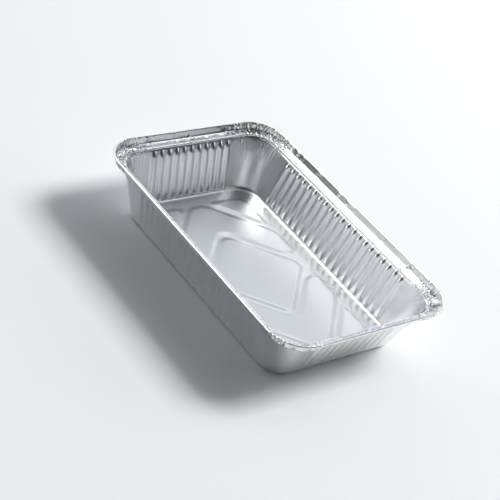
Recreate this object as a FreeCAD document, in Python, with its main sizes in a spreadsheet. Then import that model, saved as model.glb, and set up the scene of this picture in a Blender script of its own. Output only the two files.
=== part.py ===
"""Pressed foil food container: one drawn sheet of foil, modelled as a parametric document.

The pan is what is left between two forms, as it is between a die and a punch: the outer form has
the outside surface of the foil and the inner form its inside surface, one gauge further in, and
one function builds both.  The rim is the cross-section of the foil swept round the mouth.
Z is up, the container stands on Z = 0 with its origin under the middle, and X is the long way.
"""
import FreeCAD, Part
import math
import os
import Sketcher

NODE = "foil_container"

SIZES = {
    # overall, in millimetres
    "rim_length": 216.0,       # over the curled edge, the long way
    "rim_width": 146.0,        # over the curled edge, the short way
    "foot_length": 175.0,
    "foot_width": 110.0,
    "ledge_height": 38.6,      # table to the underside of the lid ledge
    "gauge": 0.1,              # thickness of the foil
    # wall
    "corner_radius": 15.5,     # of the wall in plan, the same at foot and mouth
    "foot_edge_radius": 3.0,
    "neck_height": 2.0,        # upright band between the ribbed wall and the ledge
    "shoulder_step": 0.8,      # how far the neck stands out from the top of the wall
    # rim
    "rim_reach": 8.6,          # wall to the outside of the curled edge
    "flange_rise": 5.6,        # underside of the ledge to the top of the curled edge
    "flange_lean": 12.0,       # degrees outward
    "curl_side": 0.5,          # each of the short flats that roll the edge over
    # ribs folded inward in the wall
    "rib_pitch": 6.4,
    "rib_width": 4.2,          # across the fold where it leaves the wall
    "rib_crown": 2.2,          # across the flat of the fold
    "rib_depth": 1.1,
    "long_side_ribs": 21,
    "short_side_ribs": 11,
    # panels raised in the base
    "panel_rise": 0.9,
    "panel_slope": 78.0,       # degrees from upright, of the panels' edges
    "panel_margin": 10.0,      # foot outline to the outermost panels
    "panel_gap": 1.0,          # flat channel between neighbouring panels
    "panel_corner": 6.0,
    "diamond_length": 88.0,    # between the points where its sides would meet
    "diamond_margin": 2.8,     # from its side points to the edge of the panelled field
    "diamond_bend": 9.0,
    "chevron_margin": 1.5,     # from its bend to the edge of the panelled field
    "chevron_bend": 16.0,
    "chevron_end": 11.0,       # from the middle to the chevron's square ends
    "triangle_tip": 7.0,
}

DERIVED = {
    "mouth_length": "=rim_length - 2 * rim_reach",
    "mouth_width": "=rim_width - 2 * rim_reach",
    "shoulder_height": "=ledge_height - neck_height",
    "waist_length": "=mouth_length - 2 * shoulder_step",
    "waist_width": "=mouth_width - 2 * shoulder_step",
    "long_wall_lean": "=atan((waist_width - foot_width) / 2 / shoulder_height)",
    "short_wall_lean": "=atan((waist_length - foot_length) / 2 / shoulder_height)",
    # how far the foot of a slanting side moves in, for each unit of foil under and beside it
    "rib_flank": "=atan((rib_width - rib_crown) / 2 / rib_depth)",
    "rib_shift": "=(1 - sin(rib_flank)) / cos(rib_flank)",
    "long_wall_shift": "=(1 - sin(long_wall_lean)) / cos(long_wall_lean)",
    "short_wall_shift": "=(1 - sin(short_wall_lean)) / cos(short_wall_lean)",
    # the panelled field, as half sizes, and where each slanting side would cross the middle line
    "field_x": "=foot_length / 2 - panel_margin",
    "field_y": "=foot_width / 2 - panel_margin",
    "diamond_x": "=diamond_length / 2",
    "diamond_y": "=field_y - diamond_margin",
    "steepness": "=diamond_y / diamond_x",
    "gap_along": "=panel_gap / sin(atan(steepness))",
    "chevron_round": "=chevron_bend * (1 / sin(atan(steepness)) - 1)",
    "chevron_inner": "=diamond_x + gap_along",
    "chevron_outer": "=field_x - chevron_margin + chevron_round",
    "triangle_side": "=chevron_outer + gap_along",
}

CURL_TURNS = (45, 90, 135, 180, 225)   # degrees that each flat of the curl turns from the flange
START, END = 1, 2                      # the Sketcher's numbers for a curve's ends
ORIGIN = (-1, 1)                       # for the origin
X_AXIS = -1                            # and for the horizontal axis
STRAY = 0.02                           # the share by which the copies of a cut may differ


def expect(condition, message):
    """Stop the build when the model isn't what it should be."""
    if not condition:
        raise RuntimeError(message)


def build_sheet(doc):
    """The driving dimensions, and what follows from them, as named cells."""
    sheet = doc.addObject("Spreadsheet::Sheet", "Sizes")
    for row, (name, value) in enumerate({**SIZES, **DERIVED}.items(), start=1):
        sheet.set(f"A{row}", name)
        sheet.set(f"B{row}", str(value))
        sheet.setAlias(f"B{row}", name)
    doc.recompute()
    return sheet


def origin_plane(body, role):
    """One of a body's own origin planes."""
    return next(f for f in body.Origin.OriginFeatures if f.Role == role)


def new_sketch(body, name, role, lift="0"):
    """An empty sketch on an origin plane of the body, lifted off it by an expression."""
    sketch = body.newObject("Sketcher::SketchObject", name)
    sketch.AttachmentSupport = [(origin_plane(body, role), "")]
    sketch.MapMode = "FlatFace"
    sketch.setExpression(".AttachmentOffset.Base.z", lift)
    return sketch


def number(sketch, expression):
    """What an expression over the sheet comes to now, as a plain number."""
    value = sketch.evalExpression(expression)
    return float(getattr(value, "Value", value))


def drive(sketch, name, constraint, expression):
    """Add a dimension and bind it to the sheet."""
    index = sketch.addConstraint(constraint)
    sketch.renameConstraint(index, name)
    sketch.setExpression(f"Constraints.{name}", expression)


def point(x, y):
    return FreeCAD.Vector(x, y, 0)


def arc(centre, radius, first, last):
    """A counter-clockwise arc between two angles in radians."""
    return Part.ArcOfCircle(Part.Circle(centre, FreeCAD.Vector(0, 0, 1), radius), first, last)


def corner_arc(before, corner, after, radius):
    """The arc that rounds a corner, and whether it runs clockwise."""
    back = (before - corner).normalize()
    ahead = (after - corner).normalize()
    half_angle = back.getAngle(ahead) / 2
    centre = corner + (back + ahead).normalize() * (radius / math.sin(half_angle))
    touch = radius / math.tan(half_angle)
    ends = [corner + back * touch, corner + ahead * touch]
    clockwise = back.cross(ahead).z > 0
    if clockwise:
        ends.reverse()
    angles = [math.atan2(end.y - centre.y, end.x - centre.x) for end in ends]
    return arc(centre, radius, *angles), clockwise


def rounded_outline(body, name, lift, corners):
    """A closed outline of straight sides with rounded corners, counter-clockwise in plan.

    Each corner is the point where two sides would meet and the radius that rounds it, all three
    as expressions.  The sharp corners stay in the sketch as construction points.
    """
    sketch = new_sketch(body, name, "XY_Plane", lift)
    sharp = [point(number(sketch, x), number(sketch, y)) for x, y, _ in corners]
    radii = [number(sketch, radius) for _, _, radius in corners]
    count = len(corners)
    rounds = [corner_arc(sharp[i - 1], sharp[i], sharp[(i + 1) % count], radii[i])
              for i in range(count)]
    for i, (curve, clockwise) in enumerate(rounds):
        next_curve, next_clockwise = rounds[(i + 1) % count]
        leave = curve.StartPoint if clockwise else curve.EndPoint
        arrive = next_curve.EndPoint if next_clockwise else next_curve.StartPoint
        sketch.addGeometry([curve, Part.LineSegment(leave, arrive)], False)
    for i, (_, clockwise) in enumerate(rounds):
        round_, side, side_before = 2 * i, 2 * i + 1, (2 * i - 1) % (2 * count)
        first, last = (END, START) if clockwise else (START, END)
        mark = sketch.addGeometry(Part.Point(sharp[i]), True)
        sketch.addConstraint([
            Sketcher.Constraint("Tangent", side_before, END, round_, first),
            Sketcher.Constraint("Tangent", round_, last, side, START),
            Sketcher.Constraint("PointOnObject", mark, START, side_before),
            Sketcher.Constraint("PointOnObject", mark, START, side),
        ])
        x, y, radius = corners[i]
        drive(sketch, f"corner_{i}_x",
              Sketcher.Constraint("DistanceX", *ORIGIN, mark, START, sharp[i].x), x)
        drive(sketch, f"corner_{i}_y",
              Sketcher.Constraint("DistanceY", *ORIGIN, mark, START, sharp[i].y), y)
        drive(sketch, f"radius_{i}", Sketcher.Constraint("Radius", round_, radii[i]), radius)
    return sketch


def plan(body, name, lift, half_length, half_width, radius):
    """A rounded rectangle about the origin, whose +X side comes first."""
    return rounded_outline(body, name, lift, [
        (half_length, f"-({half_width})", radius),
        (half_length, half_width, radius),
        (f"-({half_length})", half_width, radius),
        (f"-({half_length})", f"-({half_width})", radius),
    ])


def diamond_panel(body, name, lift):
    """The middle panel: a diamond whose long way is X."""
    x, y, bend = "Sizes.diamond_x", "Sizes.diamond_y", "Sizes.diamond_bend"
    return rounded_outline(body, name, lift, [
        (x, "0", bend), ("0", y, bend), (f"-{x}", "0", bend), ("0", f"-{y}", bend)])


def chevron_panel(body, name, lift):
    """The panel on the +X side of the diamond, with sides parallel to the diamond's."""
    inner, outer, corner = "Sizes.chevron_inner", "Sizes.chevron_outer", "Sizes.panel_corner"
    end, edge = "Sizes.chevron_end", "Sizes.field_y"
    arm_x = f"{outer} - {edge} / Sizes.steepness"
    end_y = f"({inner} - {end}) * Sizes.steepness"
    return rounded_outline(body, name, lift, [
        (outer, "0", "Sizes.chevron_bend"),
        (arm_x, edge, corner),
        (end, edge, corner),
        (end, end_y, corner),
        (inner, "0", "Sizes.diamond_bend + Sizes.panel_gap"),
        (end, f"-({end_y})", corner),
        (end, f"-{edge}", corner),
        (arm_x, f"-{edge}", corner),
    ])


def triangle_panel(body, name, lift):
    """The panel in the +X +Y corner, with its long side parallel to the chevron."""
    x, y, side, tip = "Sizes.field_x", "Sizes.field_y", "Sizes.triangle_side", "Sizes.triangle_tip"
    return rounded_outline(body, name, lift, [
        (x, y, "Sizes.corner_radius - Sizes.panel_corner"),
        (f"{side} - {y} / Sizes.steepness", y, tip),
        (x, f"({side} - {x}) * Sizes.steepness", tip),
    ])


def cut_up(body, sketch, name):
    """A sloping-sided pocket cut upward from a sketch on the underside."""
    pocket = body.newObject("PartDesign::Pocket", name)
    pocket.Profile = sketch
    pocket.Reversed = True
    pocket.setExpression("Length", "Sizes.panel_rise")
    pocket.setExpression("TaperAngle", "-Sizes.panel_slope")
    return pocket


def repeat(body, name, feature, steps, copies):
    """Repeat a cut by patterns and mirrors, and check that about as much went at every copy."""
    one = feature.BaseFeature.Shape.Volume - feature.Shape.Volume
    expect(one > 0, f"{feature.Name} cuts nothing")
    transform = body.newObject("PartDesign::MultiTransform", name)
    transform.Originals = [feature]
    transform.Transformations = steps
    body.Tip = transform
    body.Document.recompute()
    removed = feature.BaseFeature.Shape.Volume - transform.Shape.Volume
    expect(removed > (1 - STRAY) * copies * one, f"{name} doesn't cut {copies} times")
    return transform


def mirror(body, name, role):
    """A mirror in one of the body's origin planes."""
    step = body.newObject("PartDesign::Mirrored", name)
    step.MirrorPlane = (origin_plane(body, role), [""])
    return step


def rib_outline(body, name, wall, inset, lean, count, across):
    """A rib's section in plan: a fold inward from the wall, with room outside it.

    The last rib of the row is drawn, on the +X or +Y wall.  The across plane is the one that the
    two walls mirror in.
    """
    sketch = new_sketch(body, name, "XY_Plane")
    middle = f"({count} - 1) / 2 * Sizes.rib_pitch"
    skin = f"{inset} / cos({lean})"
    half_mouth = f"(Sizes.rib_width / 2 + {inset} * Sizes.rib_shift)"
    half_crown = f"(Sizes.rib_crown / 2 + {inset} * Sizes.rib_shift)"
    stations = [
        (f"{wall} + Sizes.rib_depth", half_mouth),
        (f"{wall} - {skin}", half_mouth),
        (f"{wall} - Sizes.rib_depth - {skin}", half_crown),
    ]
    corners = [(out, f"{middle} + {half}") for out, half in stations]
    corners += [(out, f"{middle} - {half}") for out, half in reversed(stations)]
    if across == "XZ_Plane":
        corners = [(along, out) for out, along in corners]
    places = [point(number(sketch, x), number(sketch, y)) for x, y in corners]
    count_of_sides = len(places)
    sketch.addGeometry([Part.LineSegment(places[i], places[(i + 1) % count_of_sides])
                        for i in range(count_of_sides)], False)
    for i, (x, y) in enumerate(corners):
        sketch.addConstraint(
            Sketcher.Constraint("Coincident", (i - 1) % count_of_sides, END, i, START))
        drive(sketch, f"corner_{i}_x",
              Sketcher.Constraint("DistanceX", *ORIGIN, i, START, places[i].x), x)
        drive(sketch, f"corner_{i}_y",
              Sketcher.Constraint("DistanceY", *ORIGIN, i, START, places[i].y), y)
    return sketch


def wall_line(body, name, role, wall, lean):
    """The slope of a wall, as one line in an upright origin plane."""
    sketch = new_sketch(body, name, role)
    foot = point(number(sketch, wall), 0)
    rise = number(sketch, "Sizes.shoulder_height")
    top = foot + point(rise * math.tan(math.radians(number(sketch, lean))), rise)
    sketch.addGeometry(Part.LineSegment(foot, top), False)
    drive(sketch, "foot", Sketcher.Constraint("DistanceX", *ORIGIN, 0, START, foot.x), wall)
    sketch.addConstraint(Sketcher.Constraint("PointOnObject", 0, START, X_AXIS))
    drive(sketch, "rise", Sketcher.Constraint("DistanceY", 0, START, 0, END, rise),
          "Sizes.shoulder_height")
    drive(sketch, "run", Sketcher.Constraint("DistanceX", 0, START, 0, END, top.x - foot.x),
          f"Sizes.shoulder_height * tan({lean})")
    return sketch


def cut_ribs(body, side, role, across, wall, lean, inset, count):
    """Cut a row of ribs up one wall, from its foot to the shoulder, and mirror it."""
    name = f"{body.Name}{side}"
    outline = rib_outline(body, f"{name}RibOutline", wall, inset, lean, count, across)
    rib = body.newObject("PartDesign::Pocket", f"{name}Rib")
    rib.Profile = outline
    rib.ReferenceAxis = (wall_line(body, f"{name}Slope", role, wall, lean), ["Edge1"])
    rib.AlongSketchNormal = True
    rib.Reversed = True
    rib.setExpression("Length", "Sizes.ledge_height")
    body.Document.recompute()
    row = body.newObject("PartDesign::LinearPattern", f"{name}Row")
    row.Direction = (origin_plane(body, role), [""])
    row.Reversed = role == "YZ_Plane"      # whose normal is +X, while the XZ plane's is -Y
    row.setExpression("Length", f"({count} - 1) * Sizes.rib_pitch")
    row.setExpression("Occurrences", count)
    both = mirror(body, f"{name}Mirror", across)
    repeat(body, f"{name}Ribs", rib, [row, both], 2 * int(number(outline, count)))


def edges_where(feature, test):
    """The names of the feature's edges whose bounding boxes pass the test."""
    return [f"Edge{i}" for i, edge in enumerate(feature.Shape.Edges, start=1)
            if test(edge.BoundBox)]


def round_edges(body, name, test, radius):
    """Fillet the edges of the body's tip that pass the test."""
    fillet = body.newObject("PartDesign::Fillet", name)
    fillet.Base = (fillet.BaseFeature, edges_where(fillet.BaseFeature, test))
    fillet.setExpression("Radius", radius)
    body.Document.recompute()


def build_form(doc, name, inset):
    """The solid under one face of the foil: 0 inset gives the outside, one gauge the inside."""
    body = doc.addObject("PartDesign::Body", name)
    block = body.newObject("PartDesign::AdditiveWedge", f"{name}Block")
    block.AttachmentSupport = [(origin_plane(body, "XZ_Plane"), "")]
    block.MapMode = "FlatFace"
    in_x = f"{inset} * Sizes.short_wall_shift"
    in_y = f"{inset} * Sizes.long_wall_shift"
    for side, sign in (("min", "-"), ("max", "")):
        block.setExpression(f"X{side}", f"{sign}(Sizes.foot_length / 2 - {in_x})")
        block.setExpression(f"Z{side}", f"{sign}(Sizes.foot_width / 2 - {in_y})")
        block.setExpression(f"X2{side}", f"{sign}(Sizes.waist_length / 2 - {in_x})")
        block.setExpression(f"Z2{side}", f"{sign}(Sizes.waist_width / 2 - {in_y})")
    block.setExpression("Ymin", inset)
    block.setExpression("Ymax", f"Sizes.shoulder_height + {inset}")
    doc.recompute()
    tall = SIZES["ledge_height"] / 2
    round_edges(body, f"{name}Corners", lambda box: box.ZLength > tall,
                f"Sizes.corner_radius - {inset}")
    round_edges(body, f"{name}FootEdge", lambda box: box.ZMax < tall,
                f"Sizes.foot_edge_radius - {inset}")

    cut_ribs(body, "Long", "YZ_Plane", "XZ_Plane", "Sizes.foot_width / 2",
             "Sizes.long_wall_lean", inset, "Sizes.long_side_ribs")
    cut_ribs(body, "Short", "XZ_Plane", "YZ_Plane", "Sizes.foot_length / 2",
             "Sizes.short_wall_lean", inset, "Sizes.short_side_ribs")

    diamond = cut_up(body, diamond_panel(body, f"{name}DiamondOutline", inset), f"{name}Diamond")
    doc.recompute()
    expect(diamond.Shape.Volume < diamond.BaseFeature.Shape.Volume, "the diamond cuts nothing")
    chevron = cut_up(body, chevron_panel(body, f"{name}ChevronOutline", inset), f"{name}Chevron")
    doc.recompute()
    repeat(body, f"{name}Chevrons", chevron, [mirror(body, f"{name}ChevronX", "YZ_Plane")], 2)
    corner = cut_up(body, triangle_panel(body, f"{name}TriangleOutline", inset), f"{name}Triangle")
    doc.recompute()
    repeat(body, f"{name}Triangles", corner, [mirror(body, f"{name}TriangleX", "YZ_Plane"),
                                              mirror(body, f"{name}TriangleY", "XZ_Plane")], 4)

    neck = body.newObject("PartDesign::Pad", f"{name}Neck")
    neck.Profile = plan(body, f"{name}NeckOutline", f"Sizes.shoulder_height + {inset}",
                        f"Sizes.mouth_length / 2 - {inset}", f"Sizes.mouth_width / 2 - {inset}",
                        f"Sizes.corner_radius - {inset}")
    neck.setExpression("Length", "Sizes.neck_height + Sizes.gauge")
    doc.recompute()
    return body


def rim_section(body):
    """The outside of the foil from the neck to the curled edge, as an open line of flats.

    The ledge is followed by the flange and by the flats of the curl, which turn outward and down
    by equal steps.
    """
    sketch = new_sketch(body, "RimSection", "XZ_Plane", "Sizes.mouth_width / 2 - Sizes.corner_radius")
    flats = len(CURL_TURNS)
    lean = number(sketch, "Sizes.flange_lean")
    side = number(sketch, "Sizes.curl_side")
    curl = [point(0, 0)]
    for turn in CURL_TURNS:
        angle = math.radians(90 - lean - turn)
        curl.append(curl[-1] + point(math.cos(angle), math.sin(angle)) * side)
    shift = point(number(sketch, "Sizes.rim_length / 2") - max(end.x for end in curl),
                  number(sketch, "Sizes.ledge_height + Sizes.flange_rise")
                  - max(end.y for end in curl))
    curl = [end + shift for end in curl]
    wall = point(number(sketch, "Sizes.mouth_length / 2"), number(sketch, "Sizes.ledge_height"))
    heel = point(curl[0].x - (curl[0].y - wall.y) * math.tan(math.radians(lean)), wall.y)
    outline = [wall, heel] + curl
    sketch.addGeometry([Part.LineSegment(a, b) for a, b in zip(outline, outline[1:])], False)
    ledge, flange, first = 0, 1, 2
    sketch.addConstraint([Sketcher.Constraint("Coincident", i, END, i + 1, START)
                          for i in range(flats + 1)])
    sketch.addConstraint([Sketcher.Constraint("Equal", first, first + i) for i in range(1, flats)])
    sketch.addConstraint(Sketcher.Constraint("Horizontal", ledge))
    drive(sketch, "wall", Sketcher.Constraint("DistanceX", *ORIGIN, ledge, START, wall.x),
          "Sizes.mouth_length / 2")
    drive(sketch, "ledge", Sketcher.Constraint("DistanceY", *ORIGIN, ledge, START, wall.y),
          "Sizes.ledge_height")
    drive(sketch, "lean", Sketcher.Constraint("Angle", flange, math.radians(90 - lean)),
          "90 - Sizes.flange_lean")
    for i, turn in enumerate(CURL_TURNS):
        drive(sketch, f"turn_{i}",
              Sketcher.Constraint("Angle", first + i, math.radians(90 - lean - turn)),
              f"90 - Sizes.flange_lean - {turn}")
    drive(sketch, "side", Sketcher.Constraint("Distance", first, START, first, END, side),
          "Sizes.curl_side")
    top = max(range(len(curl)), key=lambda i: curl[i].y)
    out = max(range(len(curl)), key=lambda i: curl[i].x)
    drive(sketch, "top", Sketcher.Constraint("DistanceY", ledge, START, first + top, START,
                                             curl[top].y - wall.y), "Sizes.flange_rise")
    drive(sketch, "reach", Sketcher.Constraint("DistanceX", *ORIGIN, first + out, START, curl[out].x),
          "Sizes.rim_length / 2")
    return sketch


def build_rim(doc):
    """The lid ledge, flange and curled edge: one strip of foil round the neck."""
    lines = doc.addObject("PartDesign::Body", "RimLines")
    section = rim_section(lines)
    path = plan(lines, "RimPath", "Sizes.ledge_height", "Sizes.mouth_length / 2",
                "Sizes.mouth_width / 2", "Sizes.corner_radius")
    thick = doc.addObject("Part::Offset2D", "RimThickness")
    thick.Source = section
    thick.Mode = "Skin"
    thick.Join = "Intersection"
    thick.Fill = True
    thick.setExpression("Value", "-Sizes.gauge")
    doc.recompute()
    rim = doc.addObject("Part::Sweep", "Rim")
    rim.Sections = [thick]
    rim.Spine = (path, [f"Edge{i}" for i in range(1, len(path.Shape.Edges) + 1)])
    rim.Solid = True
    doc.recompute()
    return rim


doc = FreeCAD.newDocument("FoilContainer")
build_sheet(doc)
pan = doc.addObject("Part::Cut", "Pan")
pan.Base = build_form(doc, "OuterForm", "0")
pan.Tool = build_form(doc, "InnerForm", "Sizes.gauge")
container = doc.addObject("Part::Fuse", "Container")
container.Label = NODE
container.Base = pan
container.Tool = build_rim(doc)
container.Refine = True
doc.recompute()

for item in doc.Objects:
    expect("Invalid" not in item.State and "Error" not in item.State, f"{item.Name} failed")
shape = container.Shape
expect(not shape.isNull() and shape.isValid(), "the container isn't a valid shape")
expect(len(shape.Solids) == 1, "the container isn't one solid")

os.makedirs("parts", exist_ok=True)
shape.exportStep(f"parts/{NODE}.step")
print(f"{NODE}: {shape.Volume:.0f} mm3 in {len(shape.Faces)} faces")
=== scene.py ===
# %% [markdown]
# # A foil food container
# A foil container is drawn in one stroke from a flat sheet of aluminium a tenth of a millimetre
# thick.  Everything on it is a fold in that one sheet: ribs up the walls, panels in the base,
# a ledge for a card lid, a flange to fold over the lid, and a rolled edge.  This file builds the
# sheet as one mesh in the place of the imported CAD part, gives it a foil finish, and lights it.

# %% Load the frame
import math

import bmesh
import bpy
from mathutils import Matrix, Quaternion, Vector, noise


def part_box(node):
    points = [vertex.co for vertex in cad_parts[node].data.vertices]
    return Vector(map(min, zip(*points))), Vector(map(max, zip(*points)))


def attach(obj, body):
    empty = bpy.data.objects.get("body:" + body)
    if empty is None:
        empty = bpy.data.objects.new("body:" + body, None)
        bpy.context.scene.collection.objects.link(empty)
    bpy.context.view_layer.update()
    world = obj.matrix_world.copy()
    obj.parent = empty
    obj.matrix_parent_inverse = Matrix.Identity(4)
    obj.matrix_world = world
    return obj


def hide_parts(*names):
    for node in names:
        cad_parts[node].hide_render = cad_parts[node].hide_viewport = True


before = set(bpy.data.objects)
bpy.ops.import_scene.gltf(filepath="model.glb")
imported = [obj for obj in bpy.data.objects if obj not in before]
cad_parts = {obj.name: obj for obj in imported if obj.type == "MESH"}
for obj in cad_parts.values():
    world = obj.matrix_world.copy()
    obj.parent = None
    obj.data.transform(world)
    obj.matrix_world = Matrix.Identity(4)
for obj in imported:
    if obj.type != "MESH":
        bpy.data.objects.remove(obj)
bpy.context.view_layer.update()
NODE = "foil_container"
low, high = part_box(NODE)
MM = 0.001
RIM_LENGTH = (high[0] - low[0]) / MM
RIM_WIDTH = (high[1] - low[1]) / MM
HEIGHT = high[2] / MM
print(f"the container is {RIM_LENGTH:.1f} x {RIM_WIDTH:.1f} x {HEIGHT:.1f} mm")

# %% [markdown]
# ## The sheet's section
# Seen in section, the sheet runs from the flat base round the foot, up a leaning wall, out over
# a small step to an upright neck, along the ledge, up the flange and round the rolled edge.  It
# could be a curve with a bevel, but a curve can't carry ribs and pleats.  Here the section is a
# list of stations, and every station becomes one ring of the mesh.  A station says how far the
# ring stands from the middle, how round its corners are and how high it is.

# %% Sizes, in millimetres
GAUGE = 0.1
CORNER = 15.5            # radius of the mouth's corners
FOOT = Vector((87.5, 55.0))         # half sizes where the walls' lines meet the base
RIM_REACH = 8.6          # from the mouth out to the rolled edge
MOUTH = Vector((RIM_LENGTH / 2 - RIM_REACH, RIM_WIDTH / 2 - RIM_REACH))
SHOULDER_STEP = 0.8      # the step between the wall and the neck
WAIST = MOUTH - Vector((SHOULDER_STEP, SHOULDER_STEP))
LEDGE_Z = 38.6
NECK = 2.0
SHOULDER_Z = LEDGE_Z - NECK
FOOT_ROUND = 3.0
BEND = 0.6               # radius of the bends on both sides of the ledge
CURL = 0.6               # radius of the rolled edge
SLACK = 0.15             # the rolled edge stays this far inside, so that its pleats fit the size
FLANGE_LEAN = math.radians(12)
LEANS = [math.atan((WAIST[i] - FOOT[i]) / SHOULDER_Z) for i in range(2)]
print("the walls lean by", [round(math.degrees(lean), 1) for lean in LEANS], "degrees")


# %% A station
class Station:
    """One ring: its half sizes, its corner radius, its height, and what the ribs and pleats need."""

    def __init__(self, half, corner, z, face, crimp, recess=0.0):
        self.half = half
        self.corner = corner
        self.z = z
        self.face = Vector(face)       # the section's own normal: outward part, upward part
        self.crimp = crimp             # how strongly corners are pleated here, 0 to 1
        self.recess = recess           # how far the foot's round has left the wall


def outside_mouth(out, z, face, crimp):
    """A station that stands a distance outside the mouth, or inside it where that is negative."""
    return Station(MOUTH + Vector((out, out)), CORNER + out, z, face, crimp)


def fade(value, start, end):
    """0 at start, 1 at end, and a smooth slope between."""
    share = min(max((value - start) / (end - start), 0.0), 1.0)
    return share * share * (3 - 2 * share)


print("halfway, a fade is", fade(0.5, 0, 1))

# %% Stations of the base, the foot and the wall
BORDER_STEPS = (6.4, 4.8, 3.2, 1.6)     # how far inside the foot's round the base's rings are
FOOT_TURNS = (0, 19, 38, 58, 76)        # degrees through which the foot's round has turned
WALL_HEIGHTS = (3.4, 5, 9, 14, 19, 23, 26, 28.5, 30.5, 32.2, 33.4, 34.4, 35.2, 35.9, 36.4)
FOOT_CRIMP = 0.05        # the wall's corners are all but smooth at the foot,
WALL_CRIMP = 0.8         # and get this much more pleated
WALL_CRIMP_Z = (14, 33)  # between these heights


def foot_offset(outward):
    """From the foot's half sizes to the round between base and wall, at a part of its radius."""
    return Vector([FOOT_ROUND * (math.tan(lean) - 1 / math.cos(lean) + outward) for lean in LEANS])


def wall_half(z):
    return FOOT + (WAIST - FOOT) * (z / SHOULDER_Z)


def border_stations():
    """The flat border of the base, from the panels out to the foot's round."""
    made = []
    for inward in BORDER_STEPS:
        back = FOOT_ROUND + inward
        half = FOOT - Vector((back, back)) + foot_offset(1)
        made.append(Station(half, CORNER - back, 0, (0, -1), 0, back))
    return made


def foot_stations():
    """From the flat base round to the wall."""
    made = []
    for turn in FOOT_TURNS:
        angle = math.radians(turn)
        z = FOOT_ROUND * (1 - math.cos(angle))
        half = FOOT + foot_offset(math.sin(angle))
        recess = (wall_half(z) - half)[0]
        made.append(Station(half, CORNER - recess, z, (math.sin(angle), -math.cos(angle)), 0, recess))
    return made


def wall_stations():
    return [Station(wall_half(z), CORNER, z, (1, 0), FOOT_CRIMP + WALL_CRIMP * fade(z, *WALL_CRIMP_Z))
            for z in WALL_HEIGHTS]


stations = border_stations() + foot_stations() + wall_stations()
print(len(stations), "rings up to the shoulder")

# %% Stations of the rim
NECK_CRIMP, BEND_CRIMP, LEDGE_CRIMP, ROLL_CRIMP = 0.8, 0.9, 1, 0.35
NECK_STATIONS = ((-0.4, 36.8), (-0.05, 37.3), (0, LEDGE_Z - BEND))   # out from the mouth, height
LEDGE_SHARES = (0.35, 0.7)              # how far along the ledge its rings are,
FLANGE_SHARES = (0.3, 0.6, 0.85)        # and how far on towards the roll each flange ring goes


def arc_stations(centre, radius, first, last, count, crimp):
    """Stations round an arc of the section, whose centre is given as out from the mouth, height."""
    made = []
    bulge = 1 if last > first else -1
    for i in range(count):
        angle = math.radians(first + (last - first) * i / (count - 1))
        face = (bulge * math.cos(angle), bulge * math.sin(angle))
        made.append(outside_mouth(centre[0] + radius * math.cos(angle),
                                  centre[1] + radius * math.sin(angle), face, crimp))
    return made


def rim_stations():
    """Neck, ledge, flange and rolled edge."""
    roll_x = RIM_REACH - CURL - GAUGE / 2 - SLACK
    roll_z = HEIGHT - CURL - GAUGE / 2 - SLACK
    flange_top = (roll_x - CURL * math.cos(FLANGE_LEAN), roll_z + CURL * math.sin(FLANGE_LEAN))
    ledge_end = flange_top[0] - (flange_top[1] - LEDGE_Z) * math.tan(FLANGE_LEAN)
    made = [outside_mouth(out, z, (1, 0), NECK_CRIMP) for out, z in NECK_STATIONS]
    made += arc_stations((BEND, LEDGE_Z - BEND), BEND, 150, 90, 2, BEND_CRIMP)
    for share in LEDGE_SHARES:
        made.append(outside_mouth(BEND + (ledge_end - 2 * BEND) * share, LEDGE_Z, (0, 1), LEDGE_CRIMP))
    made += arc_stations((ledge_end - BEND, LEDGE_Z + BEND), BEND, 270, 348, 3, BEND_CRIMP)
    flange = (math.cos(FLANGE_LEAN), -math.sin(FLANGE_LEAN))
    for share in FLANGE_SHARES:
        out = made[-1].half[0] - MOUTH[0]
        out += (flange_top[0] - out) * share
        z = made[-1].z + (flange_top[1] - made[-1].z) * share
        made.append(outside_mouth(out, z, flange, BEND_CRIMP))
    made += arc_stations((roll_x, roll_z), CURL, 168, -90, 7, ROLL_CRIMP)
    return made


stations += rim_stations()
print(len(stations), "rings, up to", round(max(s.z for s in stations), 2), "mm")

# %% [markdown]
# ## Ribs
# The wall's ribs are flat-crowned folds that bulge into the container, as wide as the lands
# between them.  They could be modelled one by one and joined, but each would leave a seam.
# Instead the ring's points are moved inward where a rib passes.  Its flanks are steep, its top
# closes in a domed arch under the neck, and at the foot it runs out on the base's border.

# %% How far a rib pushes the wall inward
PITCH = 6.4
RIB_COUNTS = (21, 11)
RIB_DEPTH = 1.6
RIB_UNEVEN = 0.15        # how much deeper or shallower than that a rib may be, as a share
RIB_FOOT = 2.1           # half widths of a rib, at the wall and at its crown
RIB_CROWN = 1.1
ARCH = 4.5               # height of a rib's domed top
ARCH_TOP = 36.6
FOOT_FADE = (0.8, 5.5)   # the heights between which a rib rises out of the foot's round
RUN_OUTS = (0.04, 0.16)  # how high a rib's trace stands on the base, by long and short sides
RUN_OUT_LENGTH = 10.0
NOISE_RISE = 0.018       # how fast unevenness changes up the wall, so slowly that it looks drawn


def wander(along, row, start, z):
    """Smooth noise between -1 and 1 along the rim, nearly the same at every height."""
    return noise.noise(Vector((along, row, start + z * NOISE_RISE)))


def rib_profile(along, count, closing=1.0):
    """How much of a rib's height a place along a wall has, from the middle of that wall."""
    if abs(along) > count * PITCH / 2:
        return 0.0
    from_crown = abs(along - PITCH * round(along / PITCH))
    return 1 - fade(from_crown, RIB_CROWN * closing, RIB_FOOT * closing + 0.05)


def rib_push(along, count, station):
    """The inward shift of the wall at a place along it."""
    if station.z > ARCH_TOP:
        return 0.0
    below = min((ARCH_TOP - station.z) / ARCH, 1.0)
    closing = below * (2 - below)
    number = round(along / PITCH)
    uneven = 1 + RIB_UNEVEN * wander(number * 1.7, count + 0.5, 0.15, station.z)
    height = RIB_DEPTH * uneven * closing * fade(station.z, *FOOT_FADE)
    return height * rib_profile(along, count, math.sqrt(closing))


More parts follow.
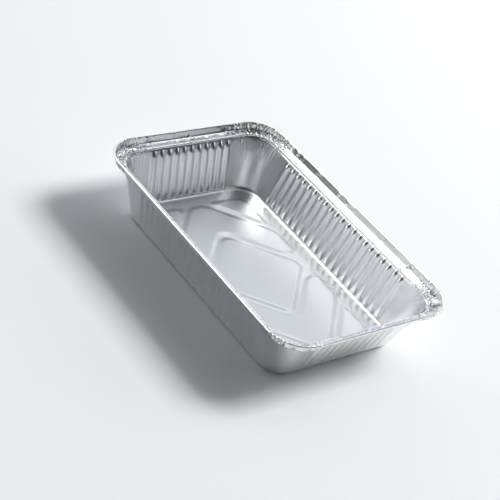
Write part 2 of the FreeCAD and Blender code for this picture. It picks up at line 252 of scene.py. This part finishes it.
def run_out(along, axis, station):
    """The upward shift of the base's border where a rib's trace crosses it."""
    if station.z > FOOT_ROUND / 2:
        return 0.0
    trace = RUN_OUTS[axis] * rib_profile(along, RIB_COUNTS[axis])
    return trace * (1 - fade(station.recess, FOOT_ROUND / 2, RUN_OUT_LENGTH))


print(2 * sum(RIB_COUNTS), "ribs, up to", round(RIB_DEPTH * (1 + RIB_UNEVEN), 2), "mm deep")

# %% [markdown]
# ## Pleats
# At the corners the flat sheet has more edge than the drawn rim needs, and the spare length
# gathers into fine, uneven pleats.  They are strongest on the ledge and flange and die out down
# the wall.  A texture could draw them, but their outline shows against the background, so they
# are real shifts of the mesh: a folded wave round the corner, with noise in its rhythm and depth.

# %% How far a pleat lifts the sheet
PLEATS_PER_CORNER = 17
PLEAT_DEPTH = 1.05
PLEAT_RUN_OUT = 16.0     # how far pleats reach along the straight sides,
PLEAT_SPACING = 2.6      # and how far apart they are there
RHYTHM = 0.9             # how far a pleat may stray from its even place, in pleats
WEAKEST, MEAN, SPREAD = 0.15, 0.75, 1.1     # a pleat's share of the full depth
PLEAT_START = 30         # the height where a short pleat starts,
LONGER = 17              # and how much lower a long one does


def corner_place(point):
    """The angle round the nearest corner, and how far along a straight side the place is."""
    past = Vector((abs(point[0]) - MOUTH[0] + CORNER, abs(point[1]) - MOUTH[1] + CORNER))
    angle = math.atan2(max(past.y, 0), max(past.x, 0))
    return angle, max(-min(past), 0)


def pleat_lift(point, station):
    """The shift along the section's normal at a place on the ring."""
    angle, along = corner_place(point)
    if along > PLEAT_RUN_OUT or station.crimp <= 0:
        return 0.0
    corner = 7 * math.copysign(1, point[0]) + 3 * math.copysign(1, point[1])   # sets corners apart
    straight = -along if angle < math.pi / 4 else along
    turn = angle / (math.pi / 2) * PLEATS_PER_CORNER + straight / PLEAT_SPACING
    turn += RHYTHM * wander(turn * 0.37, corner + 0.4, 0.1, station.z)
    wave = 4 * abs(turn % 1.0 - 0.5) - 1
    strength = max(WEAKEST, MEAN + SPREAD * wander(turn * 0.61, corner * 1.3, 0.15, station.z))
    longer = LONGER * max(0, noise.noise(Vector((turn * 0.9, corner, 4))) + 0.3)
    grown = 1 if station.z > SHOULDER_Z else fade(station.z, PLEAT_START - longer, SHOULDER_Z)
    dying = (1 - fade(along, 0, PLEAT_RUN_OUT)) ** 1.5
    return PLEAT_DEPTH * station.crimp * strength * grown * wave * dying


print(4 * PLEATS_PER_CORNER, "pleats round the corners")

# %% [markdown]
# ## Walking the rings
# The rings all start from one outline: a rectangle whose corners are bevelled round and whose
# sides are cut into eight parts for every rib.  A loft between two outlines would be shorter, but
# here every ring is shaped by itself, so each is extruded from the last.  Every point keeps two
# notes with it, its place on the inner rectangle that the corners turn about and the way out from
# there.  Extruding copies the notes, so each new ring can be placed from them.

# %% The first outline
CORNER_STEPS = 56
CUTS_PER_RIB = 8
EVEN = PITCH / CUTS_PER_RIB
COLUMNS = (0.5, 1.1, 1.6, 2.15)         # half a rib's columns, set close at its flank
SPARE = EVEN / 2
STRAIGHTS = Vector((13 * PITCH + SPARE, 8 * PITCH + SPARE))   # with columns to spare past the ribs
SQUARE_ON = 0.999        # a way out this near to an axis belongs to a straight side
TINY = 0.01
sheet = bmesh.new()
spine_note = sheet.verts.layers.float_vector.new("spine")
out_note = sheet.verts.layers.float_vector.new("out")
gather_note = sheet.verts.layers.float.new("gather")
around_note = sheet.verts.layers.float.new("around")
across_note = sheet.verts.layers.float.new("across")


def first_outline():
    """A rounded rectangle of edges, with the columns that the ribs need."""
    corners = bmesh.ops.create_grid(sheet, x_segments=1, y_segments=1, size=1)["verts"]
    for vert in corners:
        vert.co.x *= STRAIGHTS.x + CORNER
        vert.co.y *= STRAIGHTS.y + CORNER
    bmesh.ops.bevel(sheet, geom=corners, offset=CORNER, segments=CORNER_STEPS, profile=0.5,
                    affect="VERTICES", material=-1)
    bmesh.ops.delete(sheet, geom=sheet.faces[:], context="FACES_ONLY")
    for axis in (0, 1):
        sides = [edge for edge in sheet.edges
                 if abs(edge.verts[0].co[axis] - edge.verts[1].co[axis]) > CORNER]
        cuts = round(2 * STRAIGHTS[axis] / PITCH * CUTS_PER_RIB) - 1
        bmesh.ops.subdivide_edges(sheet, edges=sides, cuts=cuts)
    return sheet.edges[:]


def set_column(along, count):
    """Move an even column to the place that a rib wants it."""
    if abs(along) > count * PITCH / 2 - TINY:
        return along
    middle = PITCH * round(along / PITCH)
    step = round(abs(along - middle) / EVEN - 0.5)
    return middle + math.copysign(COLUMNS[step], along - middle)


outline = first_outline()
for vert in sheet.verts:
    spine = Vector([min(max(vert.co[i], -STRAIGHTS[i]), STRAIGHTS[i]) for i in range(2)] + [0])
    vert[out_note] = (vert.co - spine).normalized()
    for axis in (0, 1):
        if abs(spine[axis]) < STRAIGHTS[axis] - TINY:
            spine[axis] = set_column(spine[axis], RIB_COUNTS[axis])
    vert[spine_note] = spine
print(len(outline), "columns")


# %% How far round each column is
def number_columns():
    """Note on every point how far round the rim it is, in millimetres."""
    vert, edge, travelled = outline[0].verts[0], outline[0], 0.0
    for _ in outline:
        vert[around_note] = travelled
        travelled += edge.calc_length()
        vert = edge.other_vert(vert)
        edge = next(e for e in vert.link_edges if e is not edge)
    return travelled


girth = number_columns()
print("the outline's girth is", round(girth), "mm")

# %% Knocks and wavers
WAVER_DEPTH, WAVER_SIZE = 0.03, 18      # the sheet's slight waver, and how far apart its swells are
WAVER_Z = (2, 8)
KNOCK_DEPTH, KNOCK_SIZE = 0.5, 2.6      # the rim's knocks
KNOCK_START, KNOCK_FULL = 0.08, 0.42    # how much of the noise counts as a knock
KNOCK_GROUP = 11         # the size of the stretches that have knocks


def crease(where, size):
    """Smooth noise between -1 and 1, whose lumps are about that many millimetres."""
    return noise.noise(Vector(where) / size)


def dent(point, station):
    """Small knocks along the rim, and a slight waver everywhere above the foot."""
    x, y, z = point
    waver = WAVER_DEPTH * crease((x, y, z), WAVER_SIZE)
    rim = fade(station.z, SHOULDER_Z, LEDGE_Z)
    knock = fade(crease((x, y, z * 0.6), KNOCK_SIZE), KNOCK_START, KNOCK_FULL)
    knock *= fade(crease((x, y, 5), KNOCK_GROUP), -0.3, 0.2)
    return waver * fade(station.z, *WAVER_Z) + KNOCK_DEPTH * rim * knock * station.crimp


print("the knocks are up to", KNOCK_DEPTH, "mm deep")

# %% Placing one ring
LIMIT = Vector((RIM_LENGTH / 2, RIM_WIDTH / 2)) - Vector((GAUGE, GAUGE)) / 2
RIM_GATHER = 0.2         # how creased the rim is far from the corners, as a share


def stretched(along, count, reach, full):
    """Where a column stands on a side of another length: the ribs keep their pitch."""
    fixed = count * PITCH / 2
    if abs(along) <= fixed:
        return along
    return math.copysign(fixed + (abs(along) - fixed) * (full - fixed) / (reach - fixed), along)


def place(vert, station):
    """Put a ring's point where its station says, with its ribs, pleats and dents."""
    spine, out = vert[spine_note], vert[out_note]
    inner = [station.half[i] - station.corner for i in range(2)]
    point = Vector([stretched(spine[i], RIB_COUNTS[i], STRAIGHTS[i], inner[i]) for i in range(2)] + [0])
    point += out * station.corner
    point.z = station.z
    for axis in (0, 1):
        if abs(out[1 - axis]) > SQUARE_ON:
            point -= out * rib_push(spine[axis], RIB_COUNTS[axis], station)
            point.z += run_out(spine[axis], axis, station)
    face = out * station.face[0] + Vector((0, 0, station.face[1]))
    point += face * (pleat_lift(point, station) - dent(point, station))
    for axis in (0, 1):
        point[axis] = min(max(point[axis], -LIMIT[axis]), LIMIT[axis])
    point.z = min(max(point.z, GAUGE / 2), HEIGHT - GAUGE / 2)
    vert.co = point
    near = 1 - fade(corner_place(point)[1], 0, PLEAT_RUN_OUT)
    spread = RIM_GATHER + (1 - RIM_GATHER) * near if station.z > SHOULDER_Z else near
    vert[gather_note] = station.crimp * spread


for vert in sheet.verts:
    place(vert, stations[0])
print("the first ring reaches", round(max(vert.co.x for vert in sheet.verts), 1), "mm out")


# %% The rings
def extrude_ring(edges):
    """A new ring of points joined to the last one, and its edges."""
    made = bmesh.ops.extrude_edge_only(sheet, edges=edges)["geom"]
    points = dict.fromkeys(item for item in made if isinstance(item, bmesh.types.BMVert))
    ring = dict.fromkeys(edge for point in points for edge in point.link_edges
                         if edge.verts[0] in points and edge.verts[1] in points)
    return list(points), list(ring)


ring = outline
travelled = 0.0
for last, station in zip(stations, stations[1:]):
    points, ring = extrude_ring(ring)
    travelled += math.hypot(station.half.x - last.half.x, station.z - last.z)
    for vert in points:
        place(vert, station)
        vert[across_note] = travelled
print("the wall and rim have", len(sheet.faces), "faces")

# %% [markdown]
# ## The sheet's own map
# The creases have to follow the sheet round its corners, so their pattern needs places on the
# sheet and not in the room.  Unwrapping could find them, but the notes already hold them: how far
# round a point is and how far up the section, both in millimetres.  Only the faces between the
# last column and the first need a girth added, so that the map doesn't run backwards there.

# %% Write the map
uv_note = sheet.loops.layers.uv.new("sheet")
for face in sheet.faces:
    seam = max(vert[around_note] for vert in face.verts) > girth / 2
    for loop in face.loops:
        around, across = loop.vert[around_note], loop.vert[across_note]
        loop[uv_note].uv = (around + girth if seam and around < girth / 4 else around, across)
print("the map is", round(girth), "mm round and", round(travelled), "mm up")

# %% [markdown]
# ## The base
# The base is stiffened by raised panels: a diamond in the middle, a bent panel at each end and
# a triangle in each corner, with shallow channels between.  Plates could be bevelled and joined
# to the base, but pressed edges flow into it.  So every point of a grid is lifted by a height.
# The panels all follow the two slopes of the diamond, so one measure does for all: how far a
# place lies along each slope's normal.  A panel is what several such limits have in common, and
# its height rises smoothly inside them.  The grid's corners are rounded like the innermost ring,
# and triangle_fill closes the flat strip left between the two.

# %% The panels' limits
PANEL_RISE = 1.1
PANEL_RUN = 3.8          # width of a panel's sloping edge
PANEL_MARGIN = 10.0
FIELD = FOOT - Vector((PANEL_MARGIN, PANEL_MARGIN))
DIAMOND_MARGIN = 2.8
DIAMOND = Vector((44.0, FIELD.y - DIAMOND_MARGIN))
DIAMOND_BEND = 9         # bends are the radii of the panels' corners
GAP = 0.5                # half a channel's flat bottom
STEEP = DIAMOND.y / DIAMOND.x
NORMAL = Vector((STEEP, 1)).normalized()
DIAMOND_REACH = NORMAL.x * DIAMOND.x
CHEVRON_NEAR = DIAMOND_REACH + 2 * GAP
CHEVRON_MARGIN = 1.5
CHEVRON_NOSE = 16.0      # the bend of the bent panel's nose,
CHEVRON_INNER = 10       # of its hollow,
CHEVRON_TIP = 1          # where its hollow meets its outer sides,
CHEVRON_SIDE = 6         # and at its two ends
CHEVRON_FAR = NORMAL.x * (FIELD.x - CHEVRON_MARGIN + CHEVRON_NOSE * (1 / NORMAL.x - 1))
CHEVRON_END = 11.0       # how far from the middle the bent panel's ends are
TRIANGLE_NEAR = CHEVRON_FAR + 2 * GAP
TRIANGLE_TIP = 7
TRIANGLE_CORNER = 9.5
print("the diamond is", round(2 * DIAMOND.x), "x", round(2 * DIAMOND.y), "mm")


# %% How deep inside a panel a place is
def both(first, second, bend):
    """The depth inside two limits at once, whose corner has that radius."""
    if first < bend and second < bend:
        return bend - math.hypot(bend - first, bend - second)
    return min(first, second)


def either(first, second, bend):
    """The depth inside one limit or the other, whose inner corner has that radius."""
    return -both(-first, -second, bend)


def panel_depth(x, y):
    """How far inside a panel a place of the base is, in millimetres; negative in a channel."""
    x, y = abs(x), abs(y)
    rising = NORMAL.x * x + NORMAL.y * y
    falling = NORMAL.x * x - NORMAL.y * y
    edge = FIELD.y - y
    diamond = both(DIAMOND_REACH - rising, DIAMOND_REACH - falling, DIAMOND_BEND)
    diamond = both(diamond, DIAMOND_REACH + falling, DIAMOND_BEND)
    hollow = either(rising - CHEVRON_NEAR, falling - CHEVRON_NEAR, CHEVRON_INNER)
    chevron = both(CHEVRON_FAR - rising, CHEVRON_FAR - falling, CHEVRON_NOSE)
    chevron = both(chevron, hollow, CHEVRON_TIP)
    chevron = both(both(chevron, edge, CHEVRON_SIDE), x - CHEVRON_END, CHEVRON_SIDE)
    triangle = both(both(rising - TRIANGLE_NEAR, edge, TRIANGLE_TIP),
                    both(FIELD.x - x, edge, TRIANGLE_CORNER), TRIANGLE_TIP)
    return max(diamond, chevron, triangle)


print("the middle of the diamond is", round(panel_depth(0, 0), 1), "mm inside its edge")

# %% The base's mesh
BASE_STEP = 1.3
BASE_MARGIN = 0.6        # the grid reaches this far past the panels
BASE_CORNER = 5.5
SWELL_DEPTH, SWELL_SIZE = 0.05, 34      # the panels aren't quite flat
base_half = FIELD + Vector((BASE_MARGIN, BASE_MARGIN))


def round_corner(x, y):
    """Move a place in the grid's square corner to where a round corner has it."""
    past = Vector((abs(x) - base_half.x + BASE_CORNER, abs(y) - base_half.y + BASE_CORNER))
    if min(past) <= 0:
        return x, y
    past *= 1 - max(past) / past.length
    return x - math.copysign(past.x, x), y - math.copysign(past.y, y)


base = bmesh.ops.create_grid(sheet, x_segments=round(2 * base_half.x / BASE_STEP),
                             y_segments=round(2 * base_half.y / BASE_STEP), size=1)["verts"]
for vert in base:
    x, y = round_corner(vert.co.x * base_half.x, vert.co.y * base_half.y)
    lift = PANEL_RISE * fade(panel_depth(x, y), 0, PANEL_RUN)
    swell = SWELL_DEPTH * crease((x, y, 0), SWELL_SIZE) * fade(lift, 0, PANEL_RISE)
    vert.co = (x, y, GAUGE / 2 + lift + swell)
base_edge = list(dict.fromkeys(e for vert in base for e in vert.link_edges if e.is_boundary))
bmesh.ops.triangle_fill(sheet, use_beauty=True, edges=outline + base_edge, normal=(0, 0, 1))
print("the base has", len(base), "points")

# %% [markdown]
# ## From a surface to a sheet
# The mesh so far is a surface with no thickness.  It could be drawn a second time a gauge further
# in, as a die and a punch are.  Solidify does the same from one surface, with the foil's real
# gauge, so that the piece is closed and its edge shows metal, and it stays plain to read.

# %% The finished piece
bmesh.ops.recalc_face_normals(sheet, faces=sheet.faces[:])
bmesh.ops.scale(sheet, vec=(MM, MM, MM), verts=sheet.verts[:])
for face in sheet.faces:
    face.smooth = True
mesh = bpy.data.meshes.new("foil_sheet")
sheet.to_mesh(mesh)
columns = sum(edge.is_boundary for edge in sheet.edges)
sheet.free()
foil_sheet = bpy.data.objects.new("foil_sheet", mesh)
bpy.context.scene.collection.objects.link(foil_sheet)
thickness = foil_sheet.modifiers.new("gauge", "SOLIDIFY")
thickness.thickness = GAUGE * MM
thickness.offset = 0
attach(foil_sheet, "root")
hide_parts(NODE)
one_side = sum(len(face.vertices) - 2 for face in mesh.polygons)
print("triangles on both sides and along the edge:", 2 * (one_side + columns))

# %% [markdown]
# ## Pressed aluminium foil
# Container foil is bare rolled aluminium.  It is bright but not a mirror: rolling leaves fine
# lines along the sheet, and drawing gathers it in creases at the corners.  An anisotropic shader
# could smear the reflections as the lines do, but it shows no line.  So it is a metal with
# middling roughness, a bump of very long thin noise for the rolling lines, and a bump of creases
# that run up and down the sheet and show only where the "gather" attribute lets them.  What the
# eye sees is mostly what the foil reflects, so the satin base is soft and the rim sparkles.


# %% Colours and nodes
def linear(text):
    """An sRGB hex colour as the linear numbers that Blender works in."""
    parts = [int(text[i:i + 2], 16) / 255 for i in (0, 2, 4)]
    return [p / 12.92 if p <= 0.04045 else ((p + 0.055) / 1.055) ** 2.4 for p in parts] + [1.0]


def add_node(tree, kind, links=None, **settings):
    """Add a node, set its properties and sockets, and link its inputs."""
    node = tree.nodes.new(kind)
    for name, value in settings.items():
        if hasattr(node, name):
            setattr(node, name, value)
        else:
            node.inputs[name.replace("_", " ")].default_value = value
    for name, source in (links or {}).items():
        tree.links.new(source, node.inputs[name])
    return node


def new_material(name):
    material = bpy.data.materials.new(name)
    material.use_nodes = True
    material.node_tree.nodes.clear()
    return material, material.node_tree


print("a middle grey, 808080, is", round(linear("808080")[0], 3), "in linear light")

# %% The foil
ROLLING_LINE = 1.1       # millimetres across a rolling line, coarser than real so that it shows
LINE_STRETCH = 0.02      # a rolling line is fifty times as long as it is wide
DRAW_LINE = 0.9          # across the fine creases that drawing leaves at the corners
CREASE_STRETCH = 0.12
BASE_TOP = 2.0           # the base keeps its satin finish, the wall is drawn smoother,
WALL_MIDDLE = 20.0       # and the rim, above the shoulder, is burnished by the die
BURNISH = 0.6
SATIN, DRAWN = 0.38, 0.29               # their roughness,
BURNISHED = 0.66         # and the share of it that the rim keeps


def pressed_foil():
    """Bare rolled aluminium: soft grey reflections in the base, small bright glints on the rim."""
    material, tree = new_material("pressed_aluminium_foil")
    spot = add_node(tree, "ShaderNodeTexCoord").outputs["Object"]
    around = add_node(tree, "ShaderNodeUVMap", uv_map="sheet").outputs["UV"]
    gather = add_node(tree, "ShaderNodeAttribute", attribute_name="gather").outputs["Fac"]

    drawn = add_node(tree, "ShaderNodeMapping", {"Vector": spot}, Scale=(LINE_STRETCH, 1, 1))
    lines = add_node(tree, "ShaderNodeTexNoise", {"Vector": drawn.outputs["Vector"]},
                     Scale=1 / (ROLLING_LINE * MM), Detail=2)
    rolled = add_node(tree, "ShaderNodeBump", {"Height": lines.outputs["Fac"]},
                      Strength=0.15, Distance=0.03 * MM)

    streaks = add_node(tree, "ShaderNodeMapping", {"Vector": around}, Scale=(1, CREASE_STRETCH, 1))
    creases = add_node(tree, "ShaderNodeTexNoise", {"Vector": streaks.outputs["Vector"]},
                       Scale=1 / DRAW_LINE, Detail=2, Distortion=0.6)
    folded = add_node(tree, "ShaderNodeMath", {0: creases.outputs["Fac"], 1: gather},
                      operation="MULTIPLY")
    creased = add_node(tree, "ShaderNodeBump", {"Height": folded.outputs["Value"],
                                                "Normal": rolled.outputs["Normal"]},
                       Strength=0.9, Distance=0.7 * MM)

    height = add_node(tree, "ShaderNodeSeparateXYZ", {"Vector": spot}).outputs["Z"]
    satin = add_node(tree, "ShaderNodeMapRange", {"Value": height}, From_Min=BASE_TOP * MM,
                     From_Max=WALL_MIDDLE * MM, To_Min=SATIN, To_Max=DRAWN)
    bright = add_node(tree, "ShaderNodeMapRange", {"Value": height}, From_Min=SHOULDER_Z * MM,
                      From_Max=(SHOULDER_Z + BURNISH) * MM, To_Min=1.0, To_Max=BURNISHED)
    gloss = add_node(tree, "ShaderNodeMath", {0: satin.outputs["Result"], 1: bright.outputs["Result"]},
                     operation="MULTIPLY")
    metal = add_node(tree, "ShaderNodeBsdfPrincipled", {"Normal": creased.outputs["Normal"],
                                                        "Roughness": gloss.outputs["Value"]},
                     Base_Color=linear("F4F5F6"), Metallic=1.0)
    add_node(tree, "ShaderNodeOutputMaterial", {"Surface": metal.outputs["BSDF"]})
    return material


foil_sheet.data.materials.append(pressed_foil())
print("the foil's roughness runs from", SATIN, "down to", round(DRAWN * BURNISHED, 2))

# %% [markdown]
# ## Floor, light and camera
# Bare metal has next to no colour of its own: it shows the room.  One ring of lamps would light
# it, but the walls would show each lamp as a hot spot.  So the room is made first of all from
# what each face should reflect.  The floor is a plain white sheet, lit by one distant lamp that
# the metal doesn't see.  Four dimmer cards are there to be reflected: the top card by the
# base, the back and strip lights by the panels' slopes and the rounds, and the rim light by the
# flange.  The top card doesn't light the floor, so that the shadow stays whole.  The world is
# bright low down and dimmer overhead, and darker on the camera's side, which gives the ribs
# their dark flanks.  The camera has a long lens, so that the far end is hardly smaller than the
# near one, and it is rolled, so that the container seems to tilt.

# %% The floor
FLOOR_SIZE = 6.0


def white_floor():
    """Matt white paint: an even white that takes a soft shadow."""
    material, tree = new_material("white_studio_floor")
    paint = add_node(tree, "ShaderNodeBsdfPrincipled", Base_Color=linear("F7F7F7"), Roughness=0.9)
    add_node(tree, "ShaderNodeOutputMaterial", {"Surface": paint.outputs["BSDF"]})
    return material


def flat_square(name, size):
    """A level square about the middle, with its sides in metres."""
    shape = bmesh.new()
    bmesh.ops.create_grid(shape, x_segments=1, y_segments=1, size=size / 2)
    made = bpy.data.meshes.new(name)
    shape.to_mesh(made)
    shape.free()
    square = bpy.data.objects.new(name, made)
    bpy.context.scene.collection.objects.link(square)
    return square


floor = flat_square("floor", FLOOR_SIZE)
floor.data.materials.append(white_floor())
print("the floor is", FLOOR_SIZE, "m square")


# %% The lamps
def soft_box(name, at, size, power):
    """An area lamp at a place, facing the container, in metres and watts."""
    lamp = bpy.data.lights.new(name, "AREA")
    lamp.shape = "RECTANGLE"
    lamp.size, lamp.size_y = size
    lamp.energy = power
    obj = bpy.data.objects.new(name, lamp)
    obj.location = at
    obj.rotation_euler = (-Vector(at)).to_track_quat("-Z", "Y").to_euler()
    bpy.context.scene.collection.objects.link(obj)
    print(name, power, "W")
    return obj


floor_light = soft_box("floor_light", at=(0.6, 3.2, 3.2), size=(1.5, 1.5), power=185)
floor_light.visible_glossy = False
top_card = soft_box("top_card", at=(-0.82, -0.45, 1.17), size=(0.9, 0.9), power=10)
top_card.visible_diffuse = False
soft_box("back_light", at=(-0.16, 0.83, 1.36), size=(1.1, 0.4), power=1.6)
soft_box("strip_light", at=(0.25, 1.45, 0.6), size=(1.2, 0.4), power=3)
soft_box("rim_light", at=(-0.84, -1.22, 0.42), size=(1.0, 0.35), power=2.5)

# %% The world
LOW_LEVEL, OVERHEAD_LEVEL = 1.2, 0.54
LOW, OVERHEAD = 0.3, 0.6                # upward parts of a direction, between which it dims
BRIGHT_SIDE = (-0.6, 0.6, 0.25)
DARK_LEVEL = 0.04        # what is left of that on the dark side
DARK, BRIGHT = 0.2, 0.55                # how far towards the bright side a direction points
world = bpy.data.worlds.new("studio")
bpy.context.scene.world = world
world.use_nodes = True
tree = world.node_tree
tree.nodes.clear()
direction = add_node(tree, "ShaderNodeTexCoord").outputs["Generated"]
parts = add_node(tree, "ShaderNodeSeparateXYZ", {"Vector": direction})
height = add_node(tree, "ShaderNodeMapRange", {"Value": parts.outputs["Z"]},
                  From_Min=LOW, From_Max=OVERHEAD, To_Min=LOW_LEVEL, To_Max=OVERHEAD_LEVEL)
side = add_node(tree, "ShaderNodeVectorMath", {0: direction}, operation="DOT_PRODUCT")
side.inputs[1].default_value = BRIGHT_SIDE
window = add_node(tree, "ShaderNodeMapRange", {"Value": side.outputs["Value"]},
                  From_Min=DARK, From_Max=BRIGHT, To_Min=DARK_LEVEL, To_Max=1.0)
level = add_node(tree, "ShaderNodeMath", {0: height.outputs["Result"], 1: window.outputs["Result"]},
                 operation="MULTIPLY")
backdrop = add_node(tree, "ShaderNodeBackground", {"Strength": level.outputs["Value"]},
                    Color=linear("EFF4FD"))
add_node(tree, "ShaderNodeOutputWorld", {"Surface": backdrop.outputs["Background"]})
print("the world's level is", LOW_LEVEL, "low down and", OVERHEAD_LEVEL, "overhead")

# %% The camera
AIM = Vector((-0.00557, -0.00967, 0.019))
DISTANCE = 0.9593
BEARING = math.radians(41.433)
ELEVATION = math.radians(34.663)
ROLL = math.radians(20.758)
camera = bpy.data.cameras.new("camera")
camera.sensor_width = 36
camera.lens = 104.21
view = bpy.data.objects.new("camera", camera)
back = Vector((math.sin(BEARING) * math.cos(ELEVATION), -math.cos(BEARING) * math.cos(ELEVATION),
               math.sin(ELEVATION)))
view.location = AIM + back * DISTANCE
view.rotation_mode = "QUATERNION"
view.rotation_quaternion = (-back).to_track_quat("-Z", "Y") @ Quaternion((0, 0, 1), ROLL)
bpy.context.scene.collection.objects.link(view)
bpy.context.scene.camera = view
bpy.context.scene.view_settings.view_transform = "Standard"
print("the camera stands", DISTANCE, "m from the container")
